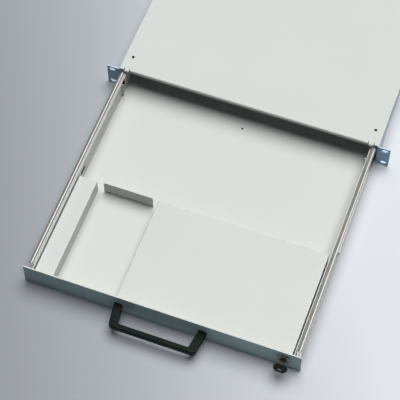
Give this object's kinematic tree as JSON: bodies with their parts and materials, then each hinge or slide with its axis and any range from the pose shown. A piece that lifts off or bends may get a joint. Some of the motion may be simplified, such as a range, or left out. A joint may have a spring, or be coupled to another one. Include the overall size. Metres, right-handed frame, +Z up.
{
  "type": "rack keyboard tray",
  "caption": "Flat rack drawer: a tray with keyboard bay and mouse pocket runs out of a sheet housing on ball slides, with a bow handle and a cam lock.",
  "frame": {"origin": "centre of the four rack slots, on the front plane of the ears", "axes": "+X to the right seen from the user, +Y into the rack, along the travel, +Z up"},
  "size_m": [0.4826, 0.859, 0.0436],
  "materials": {
    "light_grey_paint": "smooth semi-matt powder coat, light grey",
    "ear_paint": "smooth semi-matt coat, blue grey",
    "black_screw": "black oxide",
    "zinc_fastener": "zinc plated",
    "zinc_plated_steel": "bright zinc plated, drawn along its length",
    "cage_plastic": "moulded",
    "bearing_steel": "polished",
    "black_rubber": "matt",
    "handle_plastic": "fine grained black",
    "lock_chrome": "bright",
    "key_metal": "nickel plated",
    "key_plastic": "black"
  },
  "bodies": {
    "housing": {"housing_base": "light_grey_paint", "housing_cover": "light_grey_paint", "cover_screws": "black_screw", "rack_ear_left": "ear_paint", "rack_ear_right": "ear_paint", "ear_rivets": "zinc_fastener", "slide_housing_member_left": "zinc_plated_steel", "slide_housing_member_right": "zinc_plated_steel", "slide_housing_rivets": "zinc_fastener", "rear_buffers": "black_rubber"},
    "tray": {"tray_pan": "light_grey_paint", "front_panel": "light_grey_paint", "panel_nuts": "zinc_fastener", "left_platform": "light_grey_paint", "right_platform": "light_grey_paint", "pocket_stop": "light_grey_paint", "handle": "handle_plastic", "handle_screws": "zinc_fastener", "lock_body": "lock_chrome", "lock_nut": "zinc_fastener", "slide_tray_member_left": "zinc_plated_steel", "slide_tray_member_right": "zinc_plated_steel", "slide_tray_rivets": "zinc_fastener"},
    "middle_left": {"slide_middle_member_left": "zinc_plated_steel"},
    "outer_cage_left": {"outer_ball_cage_left": "cage_plastic", "outer_balls_left": "bearing_steel"},
    "inner_cage_left": {"inner_ball_cage_left": "cage_plastic", "inner_balls_left": "bearing_steel"},
    "middle_right": {"slide_middle_member_right": "zinc_plated_steel"},
    "outer_cage_right": {"outer_ball_cage_right": "cage_plastic", "outer_balls_right": "bearing_steel"},
    "inner_cage_right": {"inner_ball_cage_right": "cage_plastic", "inner_balls_right": "bearing_steel"},
    "lock": {"lock_plug": "lock_chrome", "lock_cam": "zinc_fastener", "cam_screw": "zinc_fastener"},
    "key": {"key_blade": "key_metal", "key_head": "key_plastic"}
  },
  "joints": [
    {"name": "tray_slide", "type": "slide", "parent": "housing", "child": "tray", "axis": [0, 1, 0], "range_m": [0, 0.3875]},
    {"name": "middle_left_slide", "type": "slide", "parent": "housing", "child": "middle_left", "axis": [0, 1, 0], "range_m": [0, 0.19375]},
    {"name": "outer_cage_left_slide", "type": "slide", "parent": "housing", "child": "outer_cage_left", "axis": [0, 1, 0], "range_m": [0, 0.29063]},
    {"name": "inner_cage_left_slide", "type": "slide", "parent": "housing", "child": "inner_cage_left", "axis": [0, 1, 0], "range_m": [0, 0.09688]},
    {"name": "middle_right_slide", "type": "slide", "parent": "housing", "child": "middle_right", "axis": [0, 1, 0], "range_m": [0, 0.19375]},
    {"name": "outer_cage_right_slide", "type": "slide", "parent": "housing", "child": "outer_cage_right", "axis": [0, 1, 0], "range_m": [0, 0.29063]},
    {"name": "inner_cage_right_slide", "type": "slide", "parent": "housing", "child": "inner_cage_right", "axis": [0, 1, 0], "range_m": [0, 0.09688]},
    {"name": "lock_turn", "type": "hinge", "parent": "tray", "child": "lock", "pos_m": [0.195, -0.39, 0.0032], "axis": [0, 1, 0], "range_deg": [0, 90]},
    {"name": "key_withdraw", "type": "slide", "parent": "lock", "child": "key", "axis": [0, -1, 0], "range_m": [0, 0.014]}
  ],
  "couplings": [
    {"joint": "middle_left_slide", "follows": "tray_slide", "ratio": 0.5},
    {"joint": "outer_cage_left_slide", "follows": "tray_slide", "ratio": 0.75},
    {"joint": "inner_cage_left_slide", "follows": "tray_slide", "ratio": 0.25},
    {"joint": "middle_right_slide", "follows": "tray_slide", "ratio": 0.5},
    {"joint": "outer_cage_right_slide", "follows": "tray_slide", "ratio": 0.75},
    {"joint": "inner_cage_right_slide", "follows": "tray_slide", "ratio": 0.25}
  ]
}
